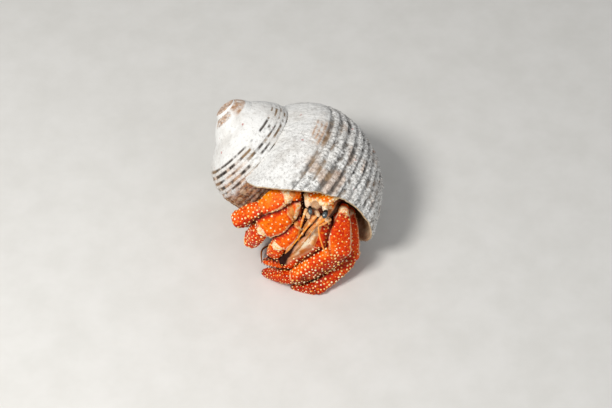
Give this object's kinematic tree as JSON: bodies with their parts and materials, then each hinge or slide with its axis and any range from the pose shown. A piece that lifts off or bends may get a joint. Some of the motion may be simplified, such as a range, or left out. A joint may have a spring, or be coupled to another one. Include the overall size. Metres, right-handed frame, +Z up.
{
  "type": "hermit crab",
  "caption": "Strawberry hermit crab resting half drawn into a worn white turban shell, still life-size model, claws and walking legs folded across the mouth of the shell.",
  "frame": {"origin": "on the floor, below the middle of the bounding box of crab and shell", "axes": "+Z up; the crab looks towards -Y and a little towards -X, and the shell's worn tip points up towards -X"},
  "size_m": [0.0572, 0.0619, 0.0439],
  "materials": {
    "shell": "chalky, worn, unpolished",
    "armour_orange": "hard cuticle with a soft sheen, orange with cream spots",
    "armour_red": "hard cuticle with a soft sheen, red with round cream bumps",
    "joint_cream": "smooth, slightly waxy",
    "cornea": "glossy, wet-looking",
    "flesh": "soft, moist"
  },
  "bodies": {
    "root": {"shell": "shell", "eyestalk_right": "joint_cream", "eye_right": "cornea", "eyestalk_left": "joint_cream", "eye_left": "cornea", "shield": "armour_orange", "leg3_right_merus": "armour_orange", "leg3_right_carpus": "armour_orange", "leg3_right_propodus": "armour_red", "leg3_right_dactyl": "armour_red", "leg2_right_merus": "armour_orange", "leg2_right_carpus": "armour_orange", "leg2_right_propodus": "armour_red", "leg2_right_dactyl": "armour_red", "leg2_left_merus": "armour_orange", "leg2_left_carpus": "armour_orange", "leg2_left_propodus": "armour_red", "leg2_left_dactyl": "armour_red", "leg3_left_merus": "armour_orange", "leg3_left_carpus": "armour_orange", "leg3_left_propodus": "armour_red", "leg3_left_dactyl": "armour_red", "cheliped_right_merus": "armour_orange", "cheliped_right_carpus": "armour_orange", "cheliped_right_palm": "armour_red", "cheliped_right_finger": "armour_red", "cheliped_left_merus": "armour_orange", "cheliped_left_carpus": "armour_orange", "cheliped_left_palm": "armour_red", "cheliped_left_finger": "armour_red", "antennule_peduncle_right": "joint_cream", "antennule_peduncle_left": "joint_cream", "antennule_flagellum_right": "joint_cream", "antennule_flagellum_left": "joint_cream", "antenna_peduncle_right": "joint_cream", "antenna_peduncle_left": "joint_cream", "antenna_flagellum_right": "joint_cream", "antenna_flagellum_left": "joint_cream", "maxilliped_right": "joint_cream", "maxilliped_left": "joint_cream", "cephalothorax": "flesh", "abdomen_front": "flesh", "abdomen_rear": "flesh", "tail_fan": "flesh", "leg4_right": "flesh", "leg4_left": "flesh", "leg5_right": "flesh", "leg5_left": "flesh"}
  },
  "joints": []
}
